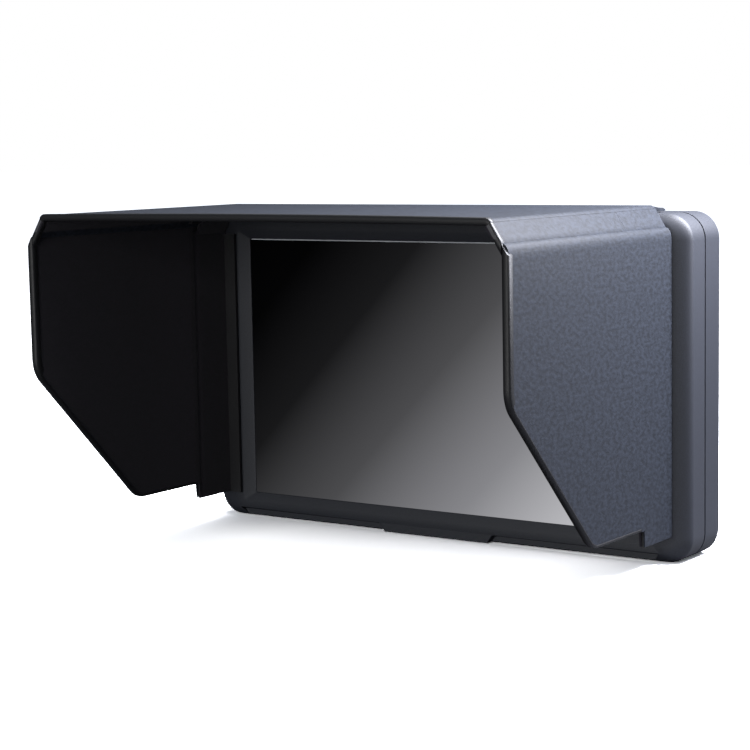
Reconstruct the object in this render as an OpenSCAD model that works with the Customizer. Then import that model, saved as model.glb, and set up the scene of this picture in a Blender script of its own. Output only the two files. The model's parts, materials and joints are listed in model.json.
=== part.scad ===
// Camera field monitor with a folding sun hood, millimetres.
// +X is to the viewer's right, -Y towards the viewer, +Z up.
// The origin is the mouth of the tripod thread, in the middle of the foot of the housing.

/* [Housing] */
// Width of the housing
body_w = 154.5; // [148:0.5:165]
// Height of the housing
body_h = 90; // [88:0.5:96]
// Depth of the front shell, from the bezel face to the parting line
front_depth = 9.7; // [9.4:0.1:12]
// Depth of the rear shell
rear_depth = 10.3; // [10:0.1:12]
// Radius of the housing's outer corners
corner_r = 7; // [6:0.5:8]
// Thickness of the shell walls
wall = 2; // [1.8:0.1:2.2]
// Depth and height of the groove along the parting line
seam_groove = 0.4; // [0.2:0.1:0.6]

/* [Bezel] */
// Width of the outer bevel at the sides
side_bevel = 4.45; // [3.5:0.05:5]
// Width of the outer bevel at the top and at the foot
end_bevel = 2.5; // [2:0.1:3]
// Depth of the outer bevel
bevel_depth = 2.9; // [2.4:0.1:3.4]
// Width of the bezel beside the window
window_side = 14.05; // [13.9:0.05:16]
// Height of the bezel above the window
window_top = 8; // [7.8:0.1:10]
// Height of the window's lower edge above the foot
window_z = 7.3; // [7.2:0.1:8]
// Width of the sloping edge round the window, at the sides
window_slope = 4; // [3:0.1:4.5]
// Width of the sloping edge at the top and the foot of the window
window_slope_end = 2.5; // [2:0.1:3]
// Depth of the glass behind the bezel face
glass_recess = 1.2; // [0.9:0.1:1.5]
// Depth of the long notches in the lower edge of the bezel
notch_depth = 2; // [1:0.1:2.5]
// Half width of the plain pad between the notches, at the foot
pad_half = 16.9; // [12:0.1:22]
// Distance of the notches' outer ends from the housing's sides
notch_end = 10.65; // [9:0.05:16]
// Slant of the notches' ends
notch_slant = 2; // [0.5:0.1:3]

/* [Display] */
// Overlap of the glass behind the bezel, on each side
glass_lap = 1.5; // [1:0.1:1.8]
// Thickness of the screen glass
glass_t = 1.1; // [0.8:0.1:1.3]
// Thickness of the adhesive gasket
gasket_t = 0.5; // [0.3:0.1:0.7]
// Thickness of the display cell
cell_t = 1.6; // [1.2:0.1:1.8]
// Thickness of the backlight tray
tray_t = 2.4; // [2:0.1:2.6]

/* [Electronics] */
// Thickness of the circuit boards
board_t = 1.6; // [1.2:0.1:1.6]
// Distance of the main board's ends from the housing's sides
board_side = 7.25; // [6.75:0.25:9]
// Distance of the main board from the foot and the top of the housing
board_end = 14; // [13.5:0.5:16]
// Radius of the small screws' shanks
screw_r = 1; // [0.8:0.1:1.2]
// Width of an HDMI socket's mouth
hdmi_w = 14.1; // [14:0.1:14.4]
// Height of an HDMI socket's mouth
hdmi_h = 4.6; // [4.5:0.05:4.8]
// Radius of the headphone jack's bore
phone_r = 1.775; // [1.76:0.005:1.8]
// Radius of the power jacks' bores
power_r = 2.8; // [2.6:0.1:3]

/* [Keys] */
// Number of keys on top
key_count = 6; // [4:1:6]
// Length of a key
key_w = 5.4; // [4:0.1:6]
// Depth of a key
key_d = 3.6; // [3:0.1:4.2]
// Height of a key above the top of the housing
key_rise = 0.9; // [0.7:0.1:1.2]
// Distance from key to key
key_pitch = 10; // [9:0.1:10.5]
// Distance of the first key's centre from the housing's right side
key_inset = 17.55; // [14:0.05:20]
// Travel of a key
key_travel = 0.5; // [0.3:0.1:0.6]

/* [Battery plate] */
// Width of the battery plate
plate_w = 42; // [40:0.5:44]
// Distance of the battery plate from the top of the housing
plate_top = 12; // [11:0.5:15]
// Height of the plate's lower edge above the foot
plate_z = 14; // [13:0.5:15]
// Depth of the recess that holds the plate
bay_depth = 4; // [3.8:0.1:4.4]
// Thickness of the plate's floor
plate_t = 1.2; // [1:0.1:1.4]
// Travel of the battery release latch
latch_travel = 1.2; // [0.8:0.1:1.4]

/* [Tripod thread] */
// Radius of the thread
thread_r = 3.175; // [3.125:0.025:3.225]
// Depth of the thread
thread_depth = 6.5; // [5:0.1:7]
// Outer radius of the insert
insert_r = 4.3; // [4:0.1:4.5]

/* [Hood] */
// Distance of the hood's front edge in front of the bezel
hood_reach = 80.3; // [74:0.1:86]
// Height of the hood's top above the housing
hood_lift = 2.1; // [1.9:0.1:4]
// Width of the slanted strip between the top and a side flap, seen from the front
strip_w = 5.1; // [4.8:0.1:8]
// Height of the slanted strip, seen from the front
strip_h = 8; // [6:0.1:10]
// Height of the side flaps' lower edge
flap_z = 11.5; // [9:0.1:14]
// Height at which the side flaps' front edge turns into the slant
slant_z = 50.5; // [40:0.5:60]
// Distance in front of the bezel at which the slant meets the lower edge
slant_reach = 42; // [36:0.5:50]
// Radius at the upper end of the slant
slant_r = 9; // [4:0.5:12]
// Height of the fixed side strips' lower end
strip_z = 7.1; // [6:0.1:9]
// Distance of the side flaps' hinge line in front of the bezel
side_hinge = 15.5; // [13:0.1:17]
// Distance from the side flaps' hinge line to the top flap's, further forward
hinge_step = 4.2; // [4.1:0.1:6]
// Thickness of the leatherette
skin_t = 0.4; // [0.3:0.05:0.5]
// Thickness of the stiffening board
stiff_t = 0.7; // [0.5:0.05:0.9]
// Thickness of the felt lining
felt_t = 0.5; // [0.4:0.05:0.6]
// Width of the bound edges
edge_w = 1.9; // [1.5:0.1:2.4]
// Height of the bound edges over the flaps' faces
edge_t = 0.25; // [0.15:0.05:0.3]
// Thickness of the hook-and-loop tapes
tape_t = 0.4; // [0.3:0.1:0.6]

/* [Clearances] */
// Gap between the hood's moving panels
fold_gap = 0.3; // [0.3:0.05:0.5]
// Gap round sliding pieces
slide_gap = 0.25; // [0.2:0.05:0.3]

/* [Hidden] */
$fn = 48;
KEYS = ["key_power", "key_menu", "key_up", "key_down", "key_input", "key_exit"];

// The housing is drawn face up: its z is the distance towards the viewer
z_face = front_depth + rear_depth / 2;
z_seam = rear_depth / 2;
z_back = -rear_depth / 2;
y_face = -z_face;
y_seam = -z_seam;
mid_y = body_h / 2;

// Window and notches
window_w = body_w - 2 * window_side;
window_h = body_h - window_z - window_top;
notch_reach = body_w / 2 - notch_end;
// Shares of the bevel's width and depth at the break in its rounded slope
break_in = 0.15;
break_down = 0.62;
corner_share = 0.6;
// Depth of the inner hollow's floor under the bevel
face_wall = wall * 0.6;
post_outer = corner_r - face_wall;

// Display stack, from the glass to the back of the tray
z_glass = z_face - glass_recess;
z_gasket = z_glass - glass_t;
z_cell = z_gasket - gasket_t;
z_tray = z_cell - cell_t;
z_tray_back = z_tray - tray_t;
stack_w = window_w + 2 * glass_lap;
stack_h = window_h + 2 * glass_lap;
stack_y = window_z + window_h / 2;
// Clearance round what is laid into the shells
fit = 0.3;
// Overlap that joins two pieces of one solid
bite = 0.5;
tray_rim = 3;
ear_in = 7;
ear_t = 0.8;
tray_screw_l = 1.1;

// Boards and posts
z_floor = z_back + wall;
board_w = body_w - 2 * board_side;
board_h = body_h - 2 * board_end;
board_z = z_seam - board_t;
board_r = 2;
post_r = 2.6;
post_in = 16;
post_end = 4;
board_dx = board_w / 2 - post_in;
board_dy = board_h / 2 - post_end;
board_screw_l = 4;
chip_w = 14;
chip_t = 1.2;
memory_w = 10;
memory_t = 1;
plug_w = 26;
plug_d = 3.5;
plug_t = 1.4;
head_r = 1.9;
head_t = 0.8;
case_dx = body_w / 2 - corner_r;
case_dy = body_h / 2 - corner_r;
case_r = 1.5;
case_head_r = 2.8;
case_head_t = 1.4;
case_grip = 6;
slot_w = 0.4;
slot_l = 1.2;
vent_w = 1.6;
vent_l = 16;
vent_pitch = 4;
vent_count = 5;
vent_x = 46;

// Ports, in the left side of the rear shell
port_depth = 11;
port_setback = 1.5;
port_wall = 0.45;
tongue_back = 3.2;
hdmi_y = [mid_y - 3, mid_y + 14.5];
phone_y = mid_y - 16.5;
power_y = [mid_y - 27, mid_y + 26.5];
hdmi_play = 0.5;
tongue_w = hdmi_w * 0.82;
tongue_t = hdmi_h * 0.36;
tongue_up = hdmi_h * 0.12;
port_lead = 4;
pin_back = 2.5;
port_play = 0.1;
phone_skin = 1;
power_skin = 0.9;
power_pin = 0.9;
port_z = board_z - hdmi_h / 2 - port_wall;
service_w = 7.2;
service_h = 2.5;
service_x = -33;
service_wall = 0.3;
service_play = 0.4;
service_depth = 5.5;
service_z = board_z - service_h / 2 - service_wall;
service_tab = 20;

// Keys, on the top of the rear shell
key_x = body_w / 2 - key_inset;
key_z = 0;
key_flange = 0.6;
key_flange_t = 0.8;
switch_w = 3.2;
switch_t = 1.4;
key_board_y = body_h - wall - key_travel - fit - key_flange_t - switch_t - board_t;
key_board_w = key_pitch * (key_count - 1) + key_w + key_d;
key_board_d = rear_depth - wall - 2 * board_t;
light_r = 0.8;
light_play = 0.05;
light_x = key_x - key_pitch / 2;

// Battery plate, in the back
plate_h = body_h - plate_z - plate_top;
z_bay = z_back + bay_depth;
z_plate = z_bay - plate_t;
rail_w = 2.2;
rail_lip = 1.8;
lip_t = 1;
hook_l = 12;
hook_y = [plate_z + plate_h / 8, plate_z + plate_h * 0.56];
bay_wall = 1.4;
latch_w = 11;
latch_h = 5.5;
latch_y = plate_z + 5;
latch_rise = 0.4;
latch_h_in = bay_depth - plate_t - latch_travel - fit;
well_floor = 0.5;
spring_t = 0.2;
contact_y = plate_z + plate_h - 9;
contact_w = 22;
contact_d = 6;
contact_sink = 0.5;
blade_t = 0.7;
blade_l = 5;
blade_h = 2.2;
blade_pitch = 5;
latch_rim = 2;
latch_sink = 0.8;
spring_w = latch_w - 3;
spring_d = 2;
insert_wall = 2.2;
plate_screw_x = 12;
plate_screw_y = [plate_z + 14, plate_z + plate_h - 18];

// Hood: section across, as half widths and heights
flap_x = body_w / 2 - side_bevel;
crease_x = flap_x - strip_w;
hood_top = body_h + hood_lift;
crease_z = hood_top - strip_h;
bend = atan((hood_top - crease_z) / (flap_x - crease_x));
panel_t = skin_t + stiff_t + felt_t;
y_front = y_face - hood_reach;
y_side = y_face - side_hinge;
y_top = y_side - hinge_step;
flap_in = flap_x - panel_t;
gusset_x = flap_in - edge_t - fold_gap * 1.2;
soft_crease = panel_t + fold_gap;
skin_crease = skin_t + 0.2;
knuckle_r = panel_t + fold_gap / 2;
knuckle_x = crease_x - knuckle_r * tan(bend / 2);
knuckle_z = hood_top - knuckle_r;
slope = tan(bend);
flap_rim_z = hood_top - (flap_in - crease_x) * slope + fold_gap;
// Inner share of the edge's width that its rolled lip covers
lip_share = 0.25;
far = 40;

// Where the hood is held: a flange round the bezel, tapes, and a strip over the housing's top
flange_t = 0.8;
flange_x = window_w / 2 + window_slope + fit;
flange_w = flap_x - skin_t - flange_x;
tape_in = 0.3;
tape_end = 2;
z_tape = body_h + tape_t;
lap_y = y_seam - fold_gap;
lap_in = 1.5;
top_tape_y = y_face + bevel_depth + tape_t;
top_tape_in = 4;

leatherette = [0.25, 0.26, 0.3];
felt = [0.06, 0.05, 0.07];
housing_colour = [0.19, 0.2, 0.235];
binding = [0.04, 0.04, 0.04];
circuit = [0.05, 0.3, 0.15];

function unit(v) = v / norm(v);
function arc_at(p, a, b, r, n = 6) = r <= 0 ? [p] :
    let (u = unit(a - p), v = unit(b - p), half = acos(u * v) / 2,
         c = p + unit(u + v) * r / sin(half), s = p + u * r / tan(half) - c, e = p + v * r / tan(half) - c,
         from = atan2(s.y, s.x), turn = (atan2(e.y, e.x) - from + 540) % 360 - 180)
    [for (i = [0:n]) c + r * [cos(from + turn * i / n), sin(from + turn * i / n)]];
function flat2(q) = [q.x, q.y];
// A polygon whose points carry a corner radius as their third number
function rounded(q) = [for (i = [0:len(q) - 1])
    each arc_at(flat2(q[i]), flat2(q[(i + len(q) - 1) % len(q)]), flat2(q[(i + 1) % len(q)]), q[i].z)];
// Half of the hood's section at a depth under its outer face, from the side's foot to the middle
function hood_half(d, foot) = [
    [flap_x - d, foot],
    [flap_x - d, crease_z - d * tan(45 - bend / 2)],
    [crease_x - d * tan(bend / 2), hood_top - d]];

module face_up() { rotate([90, 0, 0]) children(); }
module plate_2d(w, h, r, y = 0) {
    translate([-w / 2 + r, y]) square([w - 2 * r, h]);
    translate([-w / 2, y + r]) square([w, h - 2 * r]);
    for (sx = [-1, 1], sy = [0, 1])
        translate([sx * (w / 2 - r), y + r + sy * (h - 2 * r)]) circle(r);
}
module slab(w, h, r, y, z0, z1) { translate([0, 0, z0]) linear_extrude(z1 - z0) plate_2d(w, h, r, y); }
module layer(z) { translate([0, 0, z]) linear_extrude(0.02) children(); }
module box_at(size, centre) { translate(centre) cube(size, center = true); }
module rod(r, z0, z1) { translate([0, 0, z0]) cylinder(r = r, h = z1 - z0); }
module grid4(dx, dy, y) { for (sx = [-1, 1], sy = [-1, 1]) translate([sx * dx, y + sy * dy, 0]) children(); }

// Housing
module bezel_body() {
    slab(body_w, body_h, corner_r, 0, z_seam, z_face - bevel_depth);
    hull() {
        layer(z_face - bevel_depth - 0.02) plate_2d(body_w, body_h, corner_r);
        layer(z_face - bevel_depth * break_down) plate_2d(body_w - 2 * side_bevel * break_in,
            body_h - 2 * end_bevel * break_in, corner_r * 0.9, end_bevel * break_in);
        layer(z_face - 0.02)
            plate_2d(body_w - 2 * side_bevel, body_h - 2 * end_bevel, corner_r * corner_share, end_bevel);
    }
    pad();
}
module pad() {
    translate([0, 0, z_face - bevel_depth - wall]) linear_extrude(bevel_depth + wall)
        polygon([[-pad_half, 0], [pad_half, 0], [pad_half + notch_slant, end_bevel + bite],
            [-pad_half - notch_slant, end_bevel + bite]]);
}
module notch_2d() {
    polygon([[pad_half, -1], [pad_half, 0], [pad_half + notch_slant, end_bevel],
        [notch_reach + notch_slant, end_bevel], [notch_reach, 0], [notch_reach, -1]]);
}
module window_cut() {
    outer_w = window_w + 2 * window_slope;
    outer_h = window_h + 2 * window_slope_end;
    hull() {
        layer(z_face) translate([-outer_w / 2, window_z - window_slope_end]) square([outer_w, outer_h]);
        layer(z_glass + fit - 0.02) translate([-window_w / 2, window_z]) square([window_w, window_h]);
    }
    translate([-window_w / 2, window_z, z_glass - 1]) cube([window_w, window_h, front_depth]);
}
module case_corners() { grid4(case_dx, case_dy, mid_y) children(); }
module board_corners() { grid4(board_dx, board_dy, mid_y) children(); }
module front_bezel() {
    color(housing_colour) face_up() {
        difference() {
            bezel_body();
            slab(body_w - 2 * wall, body_h - 2 * wall, corner_r - wall, wall, z_seam - 1,
                z_face - bevel_depth - face_wall);
            translate([-stack_w / 2 - fit, stack_y - stack_h / 2 - fit, z_seam - 1])
                cube([stack_w + 2 * fit, stack_h + 2 * fit, z_glass - z_seam + 1]);
            window_cut();
            for (m = [0, 1]) mirror([m, 0, 0])
                translate([0, 0, z_face - notch_depth]) linear_extrude(notch_depth + 1) notch_2d();
            case_corners() rod(case_r, z_seam - 1, z_seam + case_grip);
        }
        difference() {
            case_corners() rod(post_outer, z_seam + fit, z_face - bevel_depth - face_wall);
            case_corners() rod(case_r, z_seam, z_seam + case_grip);
            box_at([stack_w + 2 * fit, stack_h + 2 * fit, far], [0, stack_y, z_face]);
        }
    }
}
module rear_body() {
    slab(body_w - 2 * seam_groove, body_h - 2 * seam_groove, corner_r - seam_groove, seam_groove,
        z_seam - seam_groove, z_seam);
    slab(body_w, body_h, corner_r, 0, z_back + wall, z_seam - seam_groove);
    hull() {
        layer(z_back + wall - 0.02) plate_2d(body_w, body_h, corner_r);
        layer(z_back + wall * 0.4)
            plate_2d(body_w - wall * 0.5, body_h - wall * 0.5, corner_r - wall * 0.2, wall * 0.25);
        layer(z_back) plate_2d(body_w - 2 * wall, body_h - 2 * wall, corner_r - wall, wall);
    }
}
module side_hole(y, z, w, h) {
    box_at([3 * wall, w, h], [-body_w / 2, y, z]);
}
module side_bore(y, z, r) {
    translate([-body_w / 2 - wall, y, z]) rotate([0, 90, 0]) cylinder(r = r, h = 3 * wall);
}
module rear_cover() {
    color(housing_colour) face_up() difference() {
        union() {
            difference() {
                rear_body();
                slab(body_w - 2 * wall, body_h - 2 * wall, corner_r - wall, wall, z_floor, z_seam + 1);
            }
            board_corners() rod(post_r, z_floor - bite, board_z);
            case_corners() rod(post_outer, z_floor - bite, z_seam);
            translate([-plate_w / 2 - fit - bay_wall, plate_z - fit - bay_wall, z_floor - bite])
                cube([plate_w + 2 * (fit + bay_wall), plate_h + 2 * (fit + bay_wall), bay_depth + bite]);
            translate([-insert_r - insert_wall, wall - bite, z_floor - bite])
                cube([2 * (insert_r + insert_wall), thread_depth + insert_wall, rear_depth - wall + bite]);
        }
        translate([-plate_w / 2 - fit, plate_z - fit, z_back - 1])
            cube([plate_w + 2 * fit, plate_h + 2 * fit, bay_depth + 1]);
        board_corners() rod(screw_r, z_seam - board_screw_l - board_t, z_seam + 1);
        case_corners() {
            rod(case_r, z_back - 1, z_seam + 1);
            rod(case_head_r + fit, z_back - 1, z_back + case_head_t + fit);
        }
        translate([0, -1, 0]) rotate([-90, 0, 0]) cylinder(r = insert_r, h = thread_depth + 2);
        for (y = hdmi_y) side_hole(y, port_z, hdmi_w + 2 * hdmi_play, hdmi_h + 2 * hdmi_play);
        side_bore(phone_y, port_z, phone_r + phone_skin + port_play);
        for (y = power_y) side_bore(y, port_z, power_r + power_skin + port_play);
        box_at([service_w + 2 * service_play, 3 * wall, service_h + 2 * service_play],
            [service_x, 0, service_z]);
        for (i = [0:key_count - 1])
            box_at([key_w + 2 * slide_gap, 3 * wall, key_d + 2 * slide_gap],
                [key_x - i * key_pitch, body_h, key_z]);
        translate([light_x, body_h - 2 * wall, key_z])
            rotate([-90, 0, 0]) cylinder(r = light_r, h = 3 * wall);
        for (m = [0, 1], i = [0:vent_count - 1]) mirror([m, 0, 0])
            box_at([vent_l, vent_w, 3 * wall],
                [vent_x, mid_y + (i - (vent_count - 1) / 2) * vent_pitch, z_back]);
        plate_holes() rod(screw_r, z_back, z_bay + bay_wall + 1);
    }
}

// Display stack
module stack_slab(r, inset, z0, z1) {
    slab(stack_w - 2 * inset, stack_h - 2 * inset, r, stack_y - stack_h / 2 + inset, z0, z1);
}
module screen_glass() {
    color([0.09, 0.09, 0.1]) face_up()
        stack_slab(1, 0, z_gasket, z_glass);
}
module glass_gasket() {
    color([0.05, 0.05, 0.05]) face_up() difference() {
        stack_slab(1, 0, z_cell, z_gasket);
        stack_slab(0.5, glass_lap + 1, z_cell - 1, z_gasket + 1);
    }
}
module display_cell() {
    color([0.12, 0.13, 0.16]) face_up() stack_slab(0.5, 0, z_tray, z_cell);
}
module tray_ears() { grid4(stack_w / 4, stack_h / 2 - ear_in, stack_y) children(); }
module backlight_tray() {
    color([0.72, 0.73, 0.74]) face_up() difference() {
        stack_slab(1, 0, z_tray_back, z_tray);
        stack_slab(1, tray_rim, z_tray_back - 1, z_tray_back + ear_t);
        tray_ears() rod(screw_r, z_tray_back - 1, z_tray_back + ear_t + tray_screw_l);
    }
}
module screw(z_seat, shank, head = head_r, thick = head_t, r = screw_r) {
    difference() {
        rod(head, z_seat - thick, z_seat);
        for (a = [0, 90]) rotate([0, 0, a]) box_at([head * slot_l, slot_w, thick], [0, 0, z_seat - thick]);
    }
    rod(r, z_seat, z_seat + shank);
}
module tray_screws() {
    color("silver") face_up() tray_ears() screw(z_tray_back + ear_t, tray_screw_l);
}

// Boards and sockets
module main_board() {
    color(circuit) face_up() {
        difference() {
            union() {
                slab(board_w, board_h, board_r, board_end, board_z, z_seam);
                translate([service_x - service_tab / 2, wall + 1, board_z])
                    cube([service_tab, mid_y - wall - 1, board_t]);
            }
            board_corners() rod(screw_r + 0.1, board_z - 1, z_seam + 1);
        }
        box_at([chip_w, chip_w, chip_t], [board_w / 4, mid_y, z_seam + chip_t / 2]);
        box_at([memory_w, memory_w, memory_t], [-board_w / 5, mid_y, z_seam + memory_t / 2]);
        box_at([plug_w, plug_d, plug_t], [0, mid_y + board_dy - plug_d, z_seam + plug_t / 2]);
    }
}
module board_screws() {
    color("silver") face_up() board_corners() mirror([0, 0, 1]) screw(-z_seam, board_screw_l);
}
module hdmi_socket(y) {
    mouth = -body_w / 2 + port_setback;
    color([0.7, 0.7, 0.72]) face_up() {
        difference() {
            box_at([port_depth, hdmi_w + 2 * port_wall, hdmi_h + 2 * port_wall],
                [mouth + port_depth / 2, y, port_z]);
            box_at([port_depth, hdmi_w, hdmi_h], [mouth + port_depth / 2 - 1, y, port_z]);
        }
        box_at([port_depth - tongue_back, tongue_w, tongue_t],
            [mouth + (port_depth + tongue_back) / 2, y, port_z + tongue_up]);
    }
}
// A round socket on the left side: its lead-in is a tube, and its body a block
module round_jack(y, r, skin) {
    mouth = -body_w / 2 + port_setback;
    w = 2 * (r + skin);
    translate([mouth, y, port_z]) {
        difference() {
            union() {
                rotate([0, 90, 0]) cylinder(r = r + skin, h = port_lead);
                translate([port_lead / 2, -w / 2, -w / 2])
                    cube([port_depth - port_lead / 2, w, min(w, board_z - port_z + w / 2)]);
            }
            translate([-1, 0, 0]) rotate([0, 90, 0]) cylinder(r = r, h = port_depth);
        }
    }
}
module headphone_jack() { color([0.12, 0.12, 0.12]) face_up() round_jack(phone_y, phone_r, phone_skin); }
module power_jack(y) {
    color([0.12, 0.12, 0.12]) face_up() {
        round_jack(y, power_r, power_skin);
        translate([-body_w / 2 + port_setback + pin_back, y, port_z])
            rotate([0, 90, 0]) cylinder(r = power_pin, h = port_depth - pin_back);
    }
}
module service_port() {
    color([0.6, 0.6, 0.62]) face_up() translate([service_x, port_setback, service_z]) difference() {
        translate([-service_w / 2 - service_wall, 0, -service_h / 2 - service_wall])
            cube([service_w + 2 * service_wall, service_depth, service_h + 2 * service_wall]);
        translate([-service_w / 2, -1, -service_h / 2]) cube([service_w, service_depth, service_h]);
    }
}

// Keys
module key_board() {
    color(circuit) face_up()
        box_at([key_board_w, board_t, key_board_d],
            [key_x - key_pitch * (key_count - 1) / 2, key_board_y + board_t / 2, key_z]);
}
module tact_switches() {
    color([0.7, 0.7, 0.7]) face_up() for (i = [0:key_count - 1])
        translate([key_x - i * key_pitch, key_board_y + board_t, key_z])
            box_at([switch_w, switch_t, switch_w], [0, switch_t / 2, 0]);
}
module status_light() {
    color([0.5, 0.55, 0.5]) face_up() translate([light_x, key_board_y + board_t, key_z])
        rotate([-90, 0, 0]) cylinder(r = light_r - light_play, h = body_h - key_board_y - board_t);
}
module key(i) {
    top = body_h + key_rise;
    seat = key_board_y + board_t + switch_t + key_travel + fit / 2;
    color([0.13, 0.13, 0.14]) face_up() translate([key_x - i * key_pitch, 0, key_z]) {
        box_at([key_w, top - seat, key_d], [0, (top + seat) / 2, 0]);
        box_at([key_w + 2 * key_flange, key_flange_t, key_d + 2 * key_flange],
            [0, seat + key_flange_t / 2, 0]);
    }
}

// Battery plate
module plate_holes() {
    for (x = [-1, 1], y = plate_screw_y) translate([x * plate_screw_x, y, 0]) children();
}
module battery_plate() {
    color([0.1, 0.1, 0.11]) face_up() difference() {
        union() {
            translate([-plate_w / 2, plate_z, z_plate]) cube([plate_w, plate_h, plate_t]);
            for (sx = [-1, 1]) translate([sx * (plate_w / 2 - rail_w / 2), 0, 0]) {
                box_at([rail_w, plate_h, bay_depth], [0, plate_z + plate_h / 2, z_back + bay_depth / 2]);
                for (y = hook_y) box_at([rail_lip, hook_l, lip_t],
                    [-sx * (rail_w + rail_lip) / 2, y + hook_l / 2, z_back + lip_t / 2]);
            }
            box_at([contact_w, contact_d, bay_depth - contact_sink],
                [0, contact_y + (contact_d + blade_l) / 2, z_bay - (bay_depth - contact_sink) / 2]);
            box_at([latch_w + 2 * latch_rim, latch_h + 2 * latch_rim, bay_depth - latch_sink],
                [0, latch_y, z_bay - (bay_depth - latch_sink) / 2]);
        }
        box_at([latch_w + 2 * slide_gap, latch_h + 2 * slide_gap, far],
            [0, latch_y, z_bay - well_floor - far / 2]);
        plate_holes() rod(screw_r + 0.1, z_back, z_bay + 1);
    }
}
module battery_contacts() {
    color([0.85, 0.7, 0.35]) face_up() for (i = [-1, 0, 1])
        box_at([blade_t, blade_l, blade_h], [i * blade_pitch, contact_y, z_plate - blade_h / 2]);
}
module battery_latch() {
    color([0.3, 0.3, 0.32]) face_up() translate([-latch_w / 2, latch_y - latch_h / 2, z_back - latch_rise])
        cube([latch_w, latch_h, latch_h_in + latch_rise]);
}
module latch_spring() {
    color("silver") face_up()
        box_at([spring_w, spring_d, spring_t], [0, latch_y, z_bay - well_floor - spring_t / 2]);
}
module plate_screws() {
    color("silver") face_up() plate_holes() screw(z_plate, plate_t + bay_wall);
}

// Fasteners
module tripod_insert() {
    color([0.75, 0.6, 0.3]) difference() {
        cylinder(r = insert_r, h = thread_depth + 1);
        translate([0, 0, -1]) cylinder(r = thread_r, h = thread_depth + 1);
    }
}
module case_screws() {
    color([0.2, 0.2, 0.2]) face_up() case_corners()
        screw(z_back + case_head_t + fit / 2, rear_depth + case_grip / 2, case_head_r, case_head_t,
            case_r - 0.05);
}

// Hood
module section(d0, d1, foot) {
    outer = hood_half(d0, foot);
    inner = hood_half(d1, foot);
    polygon(concat(outer, [for (i = [2:-1:0]) [-outer[i].x, outer[i].y]],
        [for (i = [0:2]) [-inner[i].x, inner[i].y]], [for (i = [2:-1:0]) inner[i]]));
}
module tunnel(d0, d1, y0, y1, foot) {
    translate([0, y1, 0]) rotate([90, 0, 0]) linear_extrude(y1 - y0) section(d0, d1, foot);
}
// What lies above the slope from the flat top's crease down to the side flap
module over_slope(gap = 0) {
    x = [flap_x - far / 2, flap_x + far / 2];
    z = [for (v = x) hood_top - (v - crease_x) * slope - gap];
    translate([0, far, 0]) rotate([90, 0, 0]) linear_extrude(hood_reach + 3 * far)
        polygon([[x[0], z[0]], [x[1], z[1]], [x[1], hood_top + far], [x[0], hood_top + far]]);
}
module flap_2d(start, grow = 0) {
    polygon(rounded([
        [y_side - start, flap_z - grow, 0],
        [y_side - start, hood_top + far / 4, 0],
        [y_front - grow, hood_top + far / 4, 0],
        [y_front - grow, slant_z - grow * 0.41, slant_r + grow],
        [y_face - slant_reach - grow * 0.41, flap_z - grow, slant_r * 0.7 + grow]]));
}
module flap_layer(d0, d1, start, grow = 0) {
    difference() {
        translate([flap_x - d1, 0, 0]) rotate([90, 0, 90]) linear_extrude(d1 - d0) flap_2d(start, grow);
        over_slope(fold_gap / 2);
    }
}
module flap_edging() {
    color(binding) difference() {
        flap_layer(-edge_t, panel_t + edge_t, soft_crease);
        flap_layer(-1, panel_t + 1, soft_crease - 0.1, -edge_w);
        flap_layer(0, panel_t, soft_crease - 0.1, -edge_w * lip_share);
        translate([flap_in - far / 2, y_front + edge_w, slant_z]) cube([far, hood_reach, far * 2]);
    }
}
module flap_inner(d0, d1, start) { flap_layer(d0, d1, start, -edge_w * lip_share); }
module flap_skin() { color(leatherette) flap_inner(0, skin_t, skin_crease); }
module flap_board() { color("gray") flap_inner(skin_t, skin_t + stiff_t, soft_crease); }
module flap_lining() { color(felt) flap_inner(skin_t + stiff_t, panel_t, soft_crease); }

module base_skin() {
    color(leatherette) difference() {
        union() {
            tunnel(0, skin_t, y_top, y_face - fold_gap, strip_z);
            translate([lap_in - crease_x, 0, 0]) rotate([90, 0, 90]) linear_extrude(2 * (crease_x - lap_in))
                polygon([[y_face - tape_t, hood_top - skin_t], [y_face - tape_t, hood_top],
                    [lap_y, z_tape + skin_t], [lap_y, z_tape], [top_tape_y, z_tape]]);
        }
        side_slack();
    }
}
// The side strips stop at their own hinge line, further back than the top's, and clear the folded flaps
module side_slack(more = 0) {
    back = hinge_step + 1;
    tall = flap_rim_z - strip_z + 1;
    for (m = [0, 1]) mirror([m, 0, 0]) {
        translate([flap_in - 0.1, y_top - 1, strip_z - 1]) cube([far, back + more, tall]);
        translate([crease_x / 2, y_top - 1, strip_z - 1])
            cube([flap_in - crease_x / 2, back + panel_t + edge_t + fold_gap, tall]);
        translate([crease_x / 2, y_top - 1, strip_z - 1])
            cube([flap_x - skin_t - crease_x / 2, back + skin_crease, tall]);
        translate([knuckle_x, y_top - 1, crease_z - panel_t]) cube([far, 1 + soft_crease, far]);
    }
}
module hood_frame() {
    color([0.12, 0.12, 0.13]) difference() {
        union() {
            tunnel(skin_t, skin_t + stiff_t, y_top + skin_crease + 0.2, y_face - tape_t, strip_z);
            for (m = [0, 1]) mirror([m, 0, 0])
                translate([flange_x, y_face - tape_t - flange_t, strip_z])
                    cube([flange_w, flange_t, crease_z - strip_z - flange_t]);
        }
        side_slack(skin_crease + 0.2);
    }
}
module base_lining() {
    color(felt) difference() {
        tunnel(skin_t + stiff_t, panel_t, y_top + skin_crease + 0.2, y_face - tape_t - flange_t, strip_z);
        side_slack(skin_crease + 0.2);
    }
}
module rim_tape() {
    color([0.08, 0.08, 0.08]) for (m = [0, 1]) mirror([m, 0, 0])
        translate([flange_x + tape_in, y_face - tape_t, strip_z + tape_end])
            cube([flange_w - 1.3 * tape_in, tape_t, crease_z - strip_z - 3 * tape_end]);
}
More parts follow.
